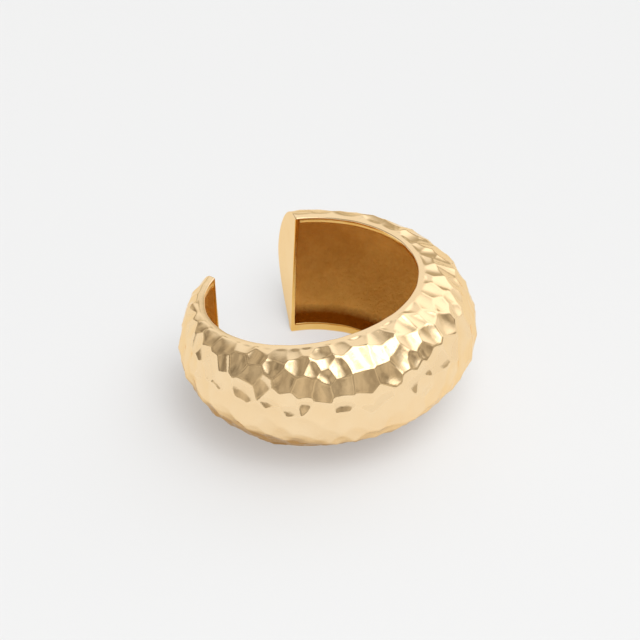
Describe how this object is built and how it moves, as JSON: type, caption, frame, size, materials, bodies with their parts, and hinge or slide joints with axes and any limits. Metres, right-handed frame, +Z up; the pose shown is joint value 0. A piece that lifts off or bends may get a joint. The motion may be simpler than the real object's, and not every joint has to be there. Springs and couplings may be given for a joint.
{
  "type": "cuff bracelet",
  "caption": "Domed, hollow-backed open cuff bracelet in polished hammered gold-coloured metal, lying on its lower rim with a gap between its flat ends.",
  "frame": {"origin": "on the surface that the lower rim stands on, under the middle of the bounding box", "axes": "+Z up along the axis of the wrist opening, +Y towards the gap between the ends, +X towards the thicker end's side"},
  "size_m": [0.0828, 0.0816, 0.0384],
  "materials": {
    "hammered_gold": "hammered and mirror polished outside, as-cast in the recess"
  },
  "bodies": {
    "root": {"cuff_body": "hammered_gold"}
  },
  "joints": []
}
